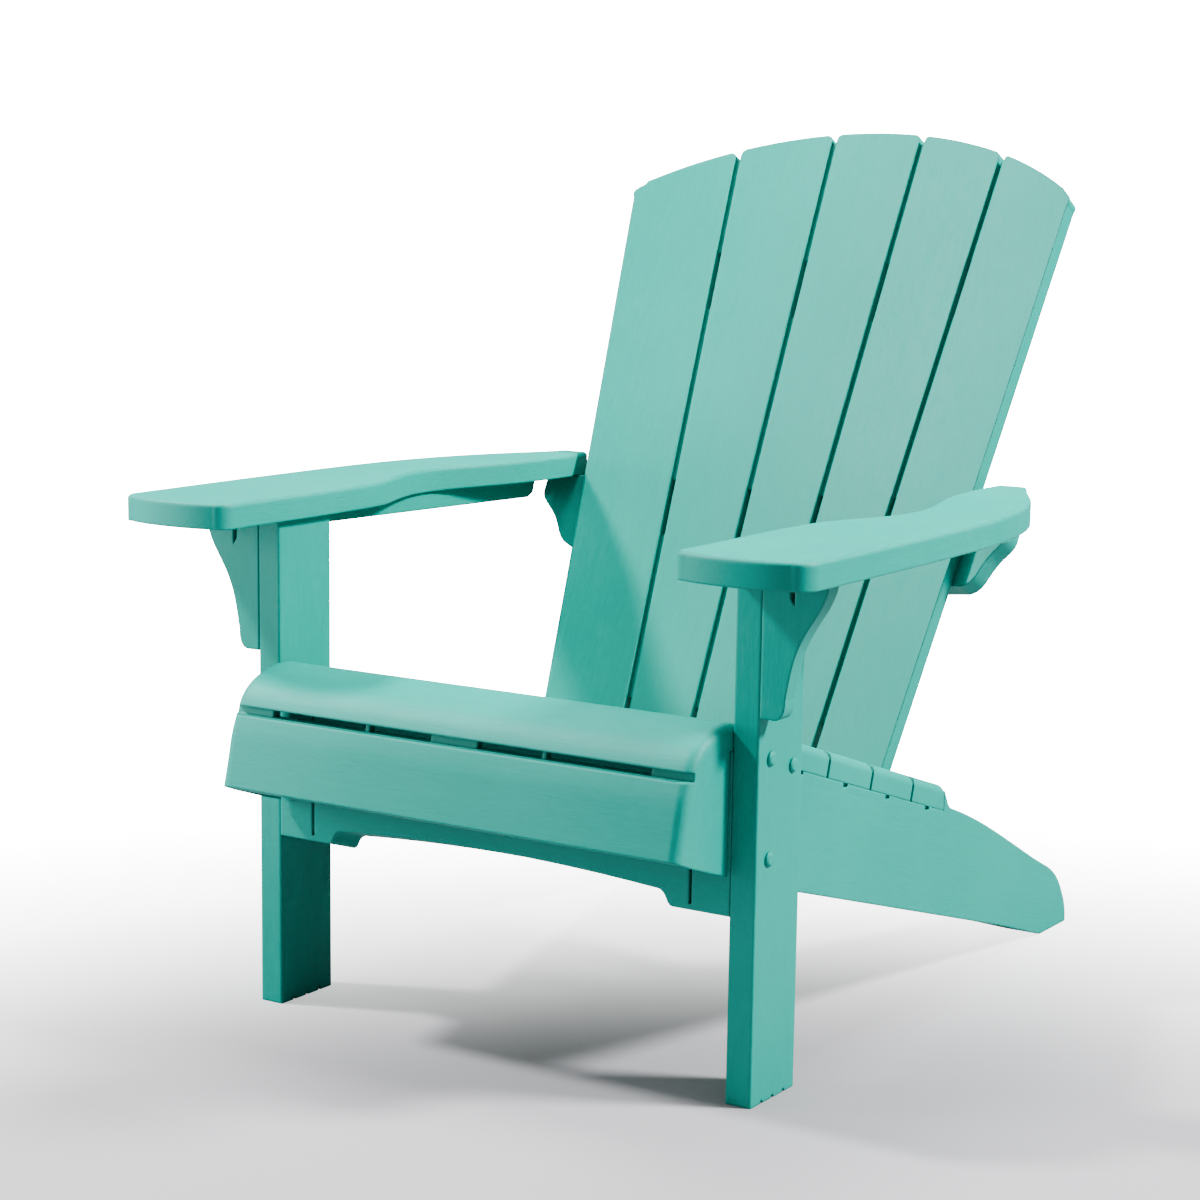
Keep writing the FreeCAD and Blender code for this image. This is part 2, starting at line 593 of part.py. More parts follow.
# the rear wall stops short of the side boards
for sideName, side in sides.items():
    y = seatRear
    tools.append(prism("seatRearClear" + sideName, "YZ_Plane",
                       [("line", [(y - 8, slopeLine(y - 8, 5.8)), (y + 3, slopeLine(y + 3, 5.8)),
                                  (y + 3, slopeLine(y + 3, 60)), (y - 8, slopeLine(y - 8, 60))])],
                       reach(side, "Sizes.legInner - Sizes.boardThick - Sizes.fitGap",
                             "Sizes.boardThick - Sizes.seatWall"),
                       "Sizes.boardThick - Sizes.seatWall"))
# the two upper bolts on each side pass through the side walls
for number in (0, 1):
    y, z = boltSpots[number]
    for sideName, side in sides.items():
        tools.append(rod("seatBoltHole%s%d" % (sideName, number), "Sizes.boltSize / 2 + 0.2", "12",
                         (side * (mm("legInner") + 2), y, z), alongMinusX if side > 0 else alongX))
seatCut = cut("seatGrooved", seatBody, tools)
# opening behind the front surface of the backrest, between the side tabs


def arcBand(name, nearBend, farBend, low, high, halfWide):
    # slab curved across the chair, standing along z; both radii share one centre
    def spot(bend, x):
        return (x, math.sqrt(bend * bend - x * x) - mm("backBend"))
    steps = [halfWide * (n / 12.0) for n in range(-12, 13)]
    near = [spot(nearBend, x) for x in steps]
    far = [spot(farBend, x) for x in reversed(steps)]
    return prism(name, "XY_Plane", [("curve", near), ("line", [near[-1], far[0]]), ("curve", far)],
                 low, high + " - (" + low + ")")


opening = arcBand("seatOpening", mm("backBend") - 1.0, mm("backBend") + 160, "150", "420", 236.0)
opening.Placement = Placement(Vector(0, 0, 0), Rotation(Vector(1, 0, 0), -mm("lean")))
opening.setExpression("Placement.Base.y", "Sizes.backFoot")
hooks = []
for number, y in enumerate(tabSpots):
    for sideName, side in sides.items():
        hooks.append(block("seatHook%s%d" % (sideName, number),
                           reach(side, "Sizes.legInner - Sizes.fitGap - Sizes.seatWall", "2.4"), y - 4,
                           slopeLine(y, mm("flangeDrop")) - 3.2, 2.4, 8, 6))
seatCut = cut("seatOpened", seatCut, [opening])
finish("seat", join("seatWhole", [seatCut] + hooks))

# Backrest

bend = mm("backBend")
thick = mm("backThick")
slab = arcBand("backSlab", bend, bend + thick, "Sizes.backLow", "Sizes.backTop + 5", 330.0)


def backEdge(z):
    return mm("backHalf") + 0.0958 * z


def archTop(x):
    centre = mm("backTop") - mm("archBend")
    return centre + math.sqrt(mm("archBend") ** 2 - x * x)


def grooveX(kind, z):
    if kind == "outer":
        return mm("fanOuter") + 0.0704 * z
    return mm("fanInner") + 0.0246 * z


low = mm("backLow")
cornerX = backEdge(980)
for _ in range(6):
    cornerX = backEdge(archTop(cornerX))
cornerZ = archTop(cornerX)
arch = [(x, archTop(x)) for x in [(cornerX - 13) * n / 8.0 for n in range(-8, 9)]]
ease = [arch[-1], (cornerX - 4.5, cornerZ - 0.5), (cornerX - 0.8, cornerZ - 5),
        (backEdge(cornerZ - 14), cornerZ - 14)]
lowerRight = (backEdge(low), low)
mirrorEase = [(-x, z) for x, z in reversed(ease)]
outline = [("curve", arch), ("curve", ease), ("line", [ease[-1], lowerRight, (-lowerRight[0], low),
                                                       mirrorEase[0]]), ("curve", mirrorEase)]
fan = prism("backFan", "XZ_Plane", outline, "-140", "220")
panel = common("backPanel", slab, fan)

strips = []
notches = []
windows = []
half = mm("grooveWide") / 2
windowRows = [(250.0, 324.0), (531.0, 603.0), (831.0, 907.0)]
for kind in ("outer", "inner"):
    for sideName, side in sides.items():
        name = kind + sideName
        strip = [(side * (grooveX(kind, low - 5) - half), low - 5),
                 (side * (grooveX(kind, 1100) - half), 1100),
                 (side * (grooveX(kind, 1100) + half), 1100),
                 (side * (grooveX(kind, low - 5) + half), low - 5)]
        strips.append(prism("backStrip" + name, "XZ_Plane", [("line", strip)], "-140", "220"))
        x = grooveX(kind, archTop(grooveX(kind, 1040)))
        top = archTop(x)
        vee = [(x - 10, archTop(x - 10) + 0.5), (x - half - 1.5, archTop(x - half - 1.5) - 2.0),
               (x - half, top - 8), (x + half, top - 8.5),
               (x + half + 1.5, archTop(x + half + 1.5) - 2.0), (x + 10, archTop(x + 10) + 0.5),
               (x, top + 30)]
        vee = [(side * a, b) for a, b in vee]
        notches.append(prism("backNotch" + name, "XZ_Plane", [("line", vee)], "-140", "220"))
        for number, (z0, z1) in enumerate(windowRows):
            wide = half + 0.3
            frame = [(side * (grooveX(kind, z0) - wide), z0), (side * (grooveX(kind, z1) - wide), z1),
                     (side * (grooveX(kind, z1) + wide), z1), (side * (grooveX(kind, z0) + wide), z0)]
            windows.append(prism("backWindow%s%d" % (name, number), "XZ_Plane", [("line", frame)],
                                 "-140", "220"))
frontLayer = arcBand("backFrontLayer", bend - 6, bend + mm("grooveDeep"), "Sizes.backLow - 10",
                     "1110", 330.0)
grooves = common("backGrooves", frontLayer, join("backStrips", strips))

# hollows in the rear of each slat, parted by ribs
cells = []
rows = 9
span = (mm("backTop") - 120 - (low + 90)) / rows
for row in range(rows):
    z0 = low + 90 + row * span + 2.5
    z1 = z0 + span - 5
    limits = [(-1, "edge", -1, "outer"), (-1, "outer", -1, "inner"), (-1, "inner", 1, "inner"),
              (1, "inner", 1, "outer"), (1, "outer", 1, "edge")]
    for column, (sideA, kindA, sideB, kindB) in enumerate(limits):
        def wallAt(sideOf, kind, z, toward):
            middle = backEdge(z) if kind == "edge" else grooveX(kind, z)
            margin = 6.0 if kind == "edge" else half + 4.0
            return sideOf * middle + toward * margin
        cell = [(wallAt(sideA, kindA, z0, 1), z0), (wallAt(sideA, kindA, z1, 1), z1),
                (wallAt(sideB, kindB, z1, -1), z1), (wallAt(sideB, kindB, z0, -1), z0)]
        cells.append(prism("backCell%d_%d" % (row, column), "XZ_Plane", [("line", cell)],
                           "-140", "220"))
rearLayer = arcBand("backRearLayer", bend + mm("backSkin"), bend + thick + 6, "Sizes.backLow - 10",
                    "1110", 330.0)
hollows = common("backHollows", rearLayer, join("backCells", cells))
backBody = cut("backBody", panel, [grooves] + notches + windows + [hollows])

# Beam, crossbar, screws

near = bend + thick + mm("fitGap")
beamBand = arcBand("beamBand", near, near + mm("beamThick"), "400", "700", 325.0)
beamLow = mm("beamLow")
tip = mm("beamHalf")
sweep = [(tip - 56, beamLow), (tip - 46, beamLow + 1), (tip - 37, beamLow + 6.5),
         (tip - 26.5, beamLow + 24), (tip - 14, beamLow + 42), (tip - 3, beamLow + 54),
         (tip, beamLow + 63)]
mirrorSweep = [(-x, z) for x, z in reversed(sweep)]
beamRuns = [("curve", sweep), ("line", [sweep[-1], (tip, 690), (-tip, 690), mirrorSweep[0]]),
            ("curve", mirrorSweep)]
beam = common("beamShape", beamBand, prism("beamOutline", "XZ_Plane", beamRuns, "-160", "260"))
# the top of the beam is level, just under the arms: in the leaning frame it slopes
levelZ = armUnder - mm("fitGap")
levelCut = []
for y in (-160, 100):
    levelCut.append((y, (levelZ + y * leanSin) / leanCos))
trim = prism("beamLevel", "YZ_Plane",
             [("line", [levelCut[0], levelCut[1], (100, 900), (-160, 900)])], "-400", "800")
barBand = arcBand("barBand", near, near + mm("barThick"), "Sizes.barLow", "Sizes.barHigh", 260.0)
barEnd = block("barEnds", "-(Sizes.legInner - Sizes.boardThick)", -200, 100,
               "2 * (Sizes.legInner - Sizes.boardThick)", 400, 300)
bar = common("barShape", barBand, barEnd)
tenon = block("barTenon", "-(Sizes.legInner - Sizes.boardThick) - 11.5",
              -7, "(Sizes.barLow + Sizes.barHigh) / 2 - 20",
              "2 * (Sizes.legInner - Sizes.boardThick) + 23", 14, 40)
tenonKeep = doc.addObject("Part::Cut", "barTenonEnds")
tenonKeep.Base = tenon
tenonKeep.Tool = block("barTenonMiddle", -228, -30, 100, 456, 60, 300)
doc.recompute()


def screwSpot(x, z, lead):
    # centre of a screw head behind a curved band whose outer face has radius lead
    y = math.sqrt(lead * lead - x * x) - bend
    return (x, y, z)


beamFace = near + mm("beamThick")
barFace = near + mm("barThick")
toFront = Rotation(Vector(1, 0, 0), 90)
screwHoles = []
screwSolids = []
for name, face, spots, thickness in (("beam", beamFace, [(-214, 560), (-75, 560), (75, 560), (214, 560)],
                                      mm("beamThick")),
                                     ("bar", barFace, [(-192, 232), (-72, 232), (72, 232), (192, 232)],
                                      mm("barThick"))):
    for number, (x, z) in enumerate(spots):
        angle = math.degrees(math.asin(x / face))
        turn = Rotation(Vector(0, 0, 1), -angle).multiply(toFront)
        place = screwSpot(x, z, face)
        out = turn.multVec(Vector(0, 0, -1))
        start = Vector(*place)
        hole = rod("%sHole%d" % (name, number), "Sizes.screwSize / 2 + 0.15",
                   "Sizes.%sThick + 14" % name, tuple(start - turn.multVec(Vector(0, 0, 1)) * 2), turn)
        shank = rod("%sShank%d" % (name, number), "Sizes.screwSize / 2",
                    "Sizes.%sThick + 10" % name, tuple(start), turn)
        headAt = start + out * 3.0
        head = rod("%sHead%d" % (name, number), "Sizes.screwHead / 2", "3",
                   tuple(headAt), turn)
        recess = rod("%sDrive%d" % (name, number), "2.2", "2",
                     tuple(headAt + out * 0.5), turn)
        solid = cut("%sScrew%d" % (name, number), join("%sScrewBlank%d" % (name, number), [head, shank]),
                    [recess])
        screwHoles.append((name, hole))
        screwSolids.append((name, solid))

beamHoles = [hole for name, hole in screwHoles if name == "beam"]
barHoles = [hole for name, hole in screwHoles if name == "bar"]
finish("rear_beam", cut("beamWhole", beam, [trim] + beamHoles), "leaning")
finish("lower_crossbar", cut("barWhole", join("barJoined", [bar, tenonKeep]), barHoles), "leaning")
finish("backrest", cut("backWhole", backBody, beamHoles + barHoles), "leaning")
for label, name in (("beam_screws", "beam"), ("crossbar_screws", "bar")):
    group = doc.addObject("Part::Compound", name + "ScrewGroup")
    group.Links = [solid for kind, solid in screwSolids if kind == name]
    finish(label, group, "leaning")

# Front stretcher

half = mm("legInner")
foot = mm("railFoot")
rise = mm("railArch")
bowRight = [(218, foot), (213.5, foot + 3), (209.5, foot + 10.5), (205, foot + 14.8), (199, foot + 16.2)]
bow = [(199 * (1 - n / 8.0), rise - (rise - foot - 16.2) * (1 - n / 8.0) ** 2) for n in range(0, 17)]
bowLeft = [(-x, z) for x, z in reversed(bowRight)]
top = slopeLine(0) + 20
runs = [("line", [(half, foot), bowRight[0]]), ("curve", bowRight), ("curve", bow), ("curve", bowLeft),
        ("line", [bowLeft[-1], (-half, foot), (-half, top), (half, top)])]
face = doc.addObject("Sketcher::SketchObject", "railFace")
drawOutline(face, runs)
face.Placement = Placement(Vector(0, 0, 0), Rotation(Vector(1, 0, 0), 90))
rail = doc.addObject("Part::Extrusion", "railSlab")
rail.Base = face
rail.DirMode = "Custom"
rail.Dir = Vector(0, 1, -slopeTan)
rail.Solid = True
rail.setExpression("LengthFwd", "Sizes.railDepth / cos(Sizes.slope * 1deg)")
# upper side lies under the seat surface and eases off below the nose
lid = [(-10, high - 11), (0, high - 9.5), (15, slopeLine(15, topDrop + 1)),
       (60, slopeLine(60, topDrop + 1)), (60, high + 80), (-10, high + 80)]
tools = [prism("railLid", "YZ_Plane", [("line", lid)], acrossStart, acrossWide)]
for sideName, side in sides.items():
    tools.append(block("railSlit" + sideName,
                       reach(side, "Sizes.slitPlace - Sizes.slitWide", "Sizes.slitWide"),
                       -5, "Sizes.railFoot + 6", "Sizes.slitWide", 60, 180))
    flangeLow = mm("flangeDrop") + mm("fitGap")
    tools.append(prism("railRebate" + sideName, "YZ_Plane",
                       [("line", [(-8, slopeLine(-8, flangeLow)), (60, slopeLine(60, flangeLow)),
                                  (60, slopeLine(60) + 20), (-8, slopeLine(-8) + 20)])],
                       reach(side, "Sizes.legInner - Sizes.seatWall - 2 * Sizes.fitGap", "10"), "10"))
    for number in (0, 2):
        y, z = boltSpots[number]
        tools.append(rod("railHole%s%d" % (sideName, number), "Sizes.boltSize / 2 + 0.2", "62",
                         (side * (half + 2), y, z), alongMinusX if side > 0 else alongX))
# hollows open to the rear
cellWide = 66.0
for number in range(6):
    x0 = -3 * cellWide - 14 + number * (cellWide + 5.6)
    tools.append(block("railCell%d" % number, x0, 7, foot + 34, cellWide, 60, 120))
finish("front_stretcher", cut("railWhole", rail, tools))

# Bolts and nuts

for sideName, side in sides.items():
    bolts = []
    nuts = []
    for number, (y, z) in enumerate(boltSpots):
        face = mm("legInner") + mm("legThick")
        inward = alongMinusX if side > 0 else alongX
        away = alongX if side > 0 else alongMinusX
        name = "%s%d" % (sideName, number)
        longEnough = 29 + 45 + 8 if number == 1 else 29 + 48
        shank = rod("boltShank" + name, "Sizes.boltSize / 2", str(longEnough),
                    (side * (face + 1), y, z), inward)
        rim = rod("boltRim" + name, "Sizes.domeSize / 2", "1.6", (side * face, y, z), away)
        crown = doc.addObject("Part::Cone", "boltCrown" + name)
        crown.setExpression("Radius1", "Sizes.domeSize / 2")
        crown.setExpression("Radius2", "Sizes.domeSize / 2 - 2.2")
        crown.setExpression("Height", "Sizes.domeTall - 1.6")
        crown.Placement = Placement(Vector(side * (face + 1.6), y, z), away)
        bolts.append(join("bolt" + name, [shank, rim, crown]))
        nutX = mm("legInner") - mm("boardThick") - 5 if number == 1 else mm("slitPlace") - 3.5
        nutThick = 5.0 if number == 1 else 3.4
        nut = block("nutBlock" + name, nutX if side > 0 else -nutX - nutThick, y - mm("nutSize") / 2,
                    z - mm("nutSize") / 2, nutThick, "Sizes.nutSize", "Sizes.nutSize")
        bore = rod("nutBore" + name, "Sizes.boltSize / 2 + 0.05", "20",
                   (side * (nutX - 5), y, z), away)
        nuts.append(cut("nut" + name, nut, [bore]))
    for label, group in (("leg_bolts_" + sideName, bolts), ("leg_nuts_" + sideName, nuts)):
        holder = doc.addObject("Part::Compound", label + "_group")
        holder.Links = group
        finish(label, holder)

# Check and write

doc.recompute()
faults = []
for thing in doc.Objects:
    if "Invalid" in thing.State or "Error" in thing.State:
        faults.append(thing.Name)
for thing in pieces:
    if thing.Shape.isNull() or not thing.Shape.isValid():
        faults.append(thing.Label)
if faults:
    raise RuntimeError("faulty pieces: " + ", ".join(faults))
for thing in pieces:
    thing.Shape.exportStep("parts/%s.step" % thing.Label)
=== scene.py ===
import math
import bpy
from mathutils import Matrix, Vector

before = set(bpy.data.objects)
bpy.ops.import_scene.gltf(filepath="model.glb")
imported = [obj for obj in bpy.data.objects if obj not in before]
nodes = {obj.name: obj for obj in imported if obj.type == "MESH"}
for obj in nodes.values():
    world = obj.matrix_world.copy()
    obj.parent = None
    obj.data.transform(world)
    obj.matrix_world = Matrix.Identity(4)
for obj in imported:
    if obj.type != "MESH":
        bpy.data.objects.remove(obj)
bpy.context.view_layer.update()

# An adirondack chair in moulded resin. Every piece is the frame's own mesh;
# this script gives each one its finish, and sets the floor, the lamps and the camera.

scene = bpy.context.scene


def feed(tree, node, **sockets):
    # a link or a plain value goes to each named socket; _ stands for a space
    for name, value in sockets.items():
        target = node.inputs[name.replace("_", " ")]
        if isinstance(value, bpy.types.NodeSocket):
            tree.links.new(value, target)
        else:
            target.default_value = value
    return node


def maths(tree, operation, a, b):
    node = tree.nodes.new("ShaderNodeMath")
    node.operation = operation
    for place, value in enumerate((a, b)):
        if isinstance(value, bpy.types.NodeSocket):
            tree.links.new(value, node.inputs[place])
        else:
            node.inputs[place].default_value = value
    return node.outputs[0]


def noise(tree, where, scale, detail, rough):
    node = tree.nodes.new("ShaderNodeTexNoise")
    feed(tree, node, Vector=where, Scale=scale, Detail=detail, Roughness=rough)
    return node.outputs["Fac"]


def stretched(tree, where, size):
    node = tree.nodes.new("ShaderNodeVectorMath")
    node.operation = "MULTIPLY"
    tree.links.new(where, node.inputs[0])
    node.inputs[1].default_value = size
    return node.outputs[0]


def spread(tree, value, low, high, toLow=0.0, toHigh=1.0):
    # low..high becomes toLow..toHigh, held at both ends
    node = tree.nodes.new("ShaderNodeMapRange")
    node.clamp = True
    tree.links.new(value, node.inputs["Value"])
    for name, number in (("From Min", low), ("From Max", high), ("To Min", toLow), ("To Max", toHigh)):
        node.inputs[name].default_value = number
    return node.outputs[0]


def blendColour(tree, factor, a, b):
    node = tree.nodes.new("ShaderNodeMix")
    node.data_type = "RGBA"
    for place, value in ((0, factor), (6, a), (7, b)):
        if isinstance(value, bpy.types.NodeSocket):
            tree.links.new(value, node.inputs[place])
        else:
            node.inputs[place].default_value = value
    return node.outputs[2]


def newGroup(name, inputs, outputs):
    tree = bpy.data.node_groups.new(name, "ShaderNodeTree")
    for label, kind in inputs:
        tree.interface.new_socket(label, in_out="INPUT", socket_type=kind)
    for label, kind in outputs:
        tree.interface.new_socket(label, in_out="OUTPUT", socket_type=kind)
    return tree, tree.nodes.new("NodeGroupInput"), tree.nodes.new("NodeGroupOutput")


def useGroup(tree, group):
    node = tree.nodes.new("ShaderNodeGroup")
    node.node_tree = group
    return node


def newMaterial(name):
    material = bpy.data.materials.new(name)
    material.use_nodes = True
    material.node_tree.nodes.clear()
    return material, material.node_tree


def finishMaterial(tree, shader):
    out = tree.nodes.new("ShaderNodeOutputMaterial")
    tree.links.new(shader.outputs[0], out.inputs["Surface"])


# sizes are in cycles a metre: along the grain, then twice across it
grain = {
    "fine": (55.0, 1150.0, 1150.0), "fineShare": 0.75,
    "broad": (9.0, 260.0, 260.0), "broadShare": 0.12, "broadTint": 0.25,
    "vein": (26.0, 620.0, 620.0), "veinFrom": 0.56, "veinTo": 0.70, "veinDepth": 0.40,
    "pit": 1400.0, "pitShare": 0.10,
}


def makeGrain():
    # noise squeezed across the grain and drawn out along x, in three widths, with round pits over it
    tree, start, end = newGroup("resinGrain",
        [("Vector", "NodeSocketVector"), ("Depth", "NodeSocketFloat")],
        [("Height", "NodeSocketFloat"), ("Streak", "NodeSocketFloat"), ("Fleck", "NodeSocketFloat")])
    where = start.outputs["Vector"]
    fine = noise(tree, stretched(tree, where, grain["fine"]), 1.0, 3.0, 0.65)
    broad = noise(tree, stretched(tree, where, grain["broad"]), 1.0, 2.0, 0.5)
    veins = noise(tree, stretched(tree, where, grain["vein"]), 1.0, 2.0, 0.55)
    pits = noise(tree, where, grain["pit"], 1.0, 0.5)
    cutLine = spread(tree, veins, grain["veinFrom"], grain["veinTo"])
    high = maths(tree, "ADD", maths(tree, "MULTIPLY", fine, grain["fineShare"]),
                 maths(tree, "MULTIPLY", broad, grain["broadShare"]))
    high = maths(tree, "SUBTRACT", high, maths(tree, "MULTIPLY", cutLine, grain["veinDepth"]))
    high = maths(tree, "ADD", high, maths(tree, "MULTIPLY", pits, grain["pitShare"]))
    streak = maths(tree, "ADD", maths(tree, "MULTIPLY", broad, grain["broadTint"]),
                   maths(tree, "MULTIPLY", fine, 1.0 - grain["broadTint"]))
    high = maths(tree, "MULTIPLY", high, start.outputs["Depth"])
    feed(tree, end, Height=high, Streak=streak, Fleck=cutLine)
    return tree


edgeWear = {"radius": 0.0035, "samples": 6, "flat": 0.995, "corner": 0.80, "patch": 34.0, "least": 0.25}


def makeEdge():
    # how far a rounded normal turns away from the plain one, so it shows on corners only
    tree, start, end = newGroup("resinEdge",
        [("Vector", "NodeSocketVector")],
        [("Mask", "NodeSocketFloat"), ("Normal", "NodeSocketVector")])
    rounded = tree.nodes.new("ShaderNodeBevel")
    rounded.samples = edgeWear["samples"]
    rounded.inputs["Radius"].default_value = edgeWear["radius"]
    surface = tree.nodes.new("ShaderNodeNewGeometry")
    turned = tree.nodes.new("ShaderNodeVectorMath")
    turned.operation = "DOT_PRODUCT"
    tree.links.new(rounded.outputs[0], turned.inputs[0])
    tree.links.new(surface.outputs["Normal"], turned.inputs[1])
    edge = spread(tree, turned.outputs["Value"], edgeWear["flat"], edgeWear["corner"])
    rub = noise(tree, start.outputs["Vector"], edgeWear["patch"], 4.0, 0.6)
    rub = spread(tree, rub, 0.35, 0.65, edgeWear["least"], 1.0)
    feed(tree, end, Mask=maths(tree, "MULTIPLY", edge, rub), Normal=rounded.outputs[0])
    return tree


weathering = {"fade": 3.2, "dust": 60.0}


def makeWeather():
    # slow cloudy fading, and dust that gathers in small soft patches
    tree, start, end = newGroup("resinWeather",
        [("Vector", "NodeSocketVector")],
        [("Fade", "NodeSocketFloat"), ("Dust", "NodeSocketFloat")])
    where = start.outputs["Vector"]
    fade = noise(tree, where, weathering["fade"], 3.0, 0.55)
    dust = noise(tree, where, weathering["dust"], 5.0, 0.65)
    feed(tree, end, Fade=spread(tree, fade, 0.3, 0.7), Dust=spread(tree, dust, 0.52, 0.78))
    return tree


grainGroup, edgeGroup, weatherGroup = makeGrain(), makeEdge(), makeWeather()
print("grain, edge and weather groups are made")

resin = {
    "deep": (0.000, 0.215, 0.170, 1.0),
    "body": (0.003, 0.250, 0.204, 1.0),
    "worn": (0.050, 0.345, 0.300, 1.0),
    "fadeShare": 0.22, "fleckShare": 0.30, "edgeShare": 0.35, "dustShare": 0.10,
    "rough": 0.56, "edgePolish": 0.10, "dustRough": 0.08,
    "bump": 0.30, "relief": 0.0006,
    "ior": 1.5, "specular": 0.3,
}


def makeResin(name, along):
    # along is the way the piece's grain runs; the mapping lays it on the pattern's x axis
    material, tree = newMaterial(name)
    place = tree.nodes.new("ShaderNodeTexCoord")
    here = place.outputs["Object"]
    lay = tree.nodes.new("ShaderNodeMapping")
    turn = Vector(along).rotation_difference(Vector((1.0, 0.0, 0.0))).to_euler()
    feed(tree, lay, Vector=here, Rotation=turn)
    streaks = feed(tree, useGroup(tree, grainGroup), Vector=lay.outputs["Vector"], Depth=1.0)
    edge = feed(tree, useGroup(tree, edgeGroup), Vector=here)
    weather = feed(tree, useGroup(tree, weatherGroup), Vector=here)
    streak, fleck = streaks.outputs["Streak"], streaks.outputs["Fleck"]
    rubbed, dust = edge.outputs["Mask"], weather.outputs["Dust"]

    colour = blendColour(tree, spread(tree, streak, 0.35, 0.65), resin["deep"], resin["body"])
    layers = ((weather.outputs["Fade"], "fadeShare", "worn"), (fleck, "fleckShare", "deep"),
              (rubbed, "edgeShare", "worn"), (dust, "dustShare", "worn"))
    for mask, share, tint in layers:
        colour = blendColour(tree, maths(tree, "MULTIPLY", mask, resin[share]), colour, resin[tint])

    rough = maths(tree, "ADD", spread(tree, streak, 0.3, 0.7, -0.05, 0.06), resin["rough"])
    rough = maths(tree, "SUBTRACT", rough, maths(tree, "MULTIPLY", rubbed, resin["edgePolish"]))
    rough = maths(tree, "ADD", rough, maths(tree, "MULTIPLY", dust, resin["dustRough"]))

    bump = tree.nodes.new("ShaderNodeBump")
    feed(tree, bump, Strength=resin["bump"], Distance=resin["relief"], Height=streaks.outputs["Height"],
         Normal=edge.outputs["Normal"])
    shader = tree.nodes.new("ShaderNodeBsdfPrincipled")
    feed(tree, shader, Base_Color=colour, Roughness=rough, Normal=bump.outputs["Normal"],
         IOR=resin["ior"], Specular_IOR_Level=resin["specular"])
    finishMaterial(tree, shader)
    return material


steelLook = {
    "bright": (0.62, 0.63, 0.64, 1.0), "dull": (0.34, 0.35, 0.37, 1.0),
    "spangle": 900.0, "spangleShare": 0.3, "cloud": 260.0, "lines": (300.0, 300.0, 4000.0),
    "bump": 0.15, "relief": 0.0002,
}


def makeSteel():
    # mottled zinc plate with fine turning lines
    material, tree = newMaterial("platedSteel")
    place = tree.nodes.new("ShaderNodeTexCoord")
    here = place.outputs["Object"]
    spangle = tree.nodes.new("ShaderNodeTexVoronoi")
    feed(tree, spangle, Vector=here, Scale=steelLook["spangle"])
    cloud = noise(tree, here, steelLook["cloud"], 4.0, 0.6)
    lines = noise(tree, stretched(tree, here, steelLook["lines"]), 1.0, 2.0, 0.5)
    colour = blendColour(tree, cloud, steelLook["dull"], steelLook["bright"])
    mottle = maths(tree, "MULTIPLY", spangle.outputs["Distance"], steelLook["spangleShare"])
    colour = blendColour(tree, mottle, colour, steelLook["dull"])
    bump = tree.nodes.new("ShaderNodeBump")
    feed(tree, bump, Strength=steelLook["bump"], Distance=steelLook["relief"], Height=lines)
    shader = tree.nodes.new("ShaderNodeBsdfPrincipled")
    feed(tree, shader, Base_Color=colour, Roughness=spread(tree, cloud, 0.3, 0.7, 0.26, 0.46),
         Normal=bump.outputs["Normal"], Metallic=1.0)
    finishMaterial(tree, shader)
    return material


# the backrest leans back by lean; the side boards fall by sideFall for each unit back
lean = math.radians(27.1)
sideFall = 0.298
sideSlope = math.atan(sideFall)
across = makeResin("resinAcross", (1.0, 0.0, 0.0))
upright = makeResin("resinUpright", (0.0, 0.0, 1.0))
armResin = makeResin("resinArms", (0.0, 1.0, 0.0))
sideResin = makeResin("resinSides", (0.0, math.cos(sideSlope), -math.sin(sideSlope)))
backResin = makeResin("resinBack", (0.0, math.sin(lean), math.cos(lean)))
steel = makeSteel()

finishes = (
    (across, ("seat", "rear_beam", "lower_crossbar", "front_stretcher")),
    (upright, ("front_leg_left", "front_leg_right", "corbel_left", "corbel_right",
               "leg_bolts_left", "leg_bolts_right")),
    (armResin, ("arm_left", "arm_right")),
    (sideResin, ("stringer_left", "stringer_right")),
    (backResin, ("backrest",)),
    (steel, ("leg_nuts_left", "leg_nuts_right", "beam_screws", "crossbar_screws")),
)
for material, names in finishes:
    for name in names:
        nodes[name].data.materials.clear()
        nodes[name].data.materials.append(material)
print("finishes are on", sum(len(names) for material, names in finishes), "pieces")

# near the chair the floor is pale grey paint; further out from middle it takes on painted light, a glow that
# only the eye sees and that grows with distance from middle, so the floor runs into the white backdrop
# without a horizon
floorLook = {
    "size": 60.0, "paint": (0.30, 0.295, 0.31, 1.0), "rough": 0.9,
    "glow": 14.0, "middle": (0.75, -1.10, 0.0), "from": 0.95, "to": 2.55, "curve": 2.0,
}


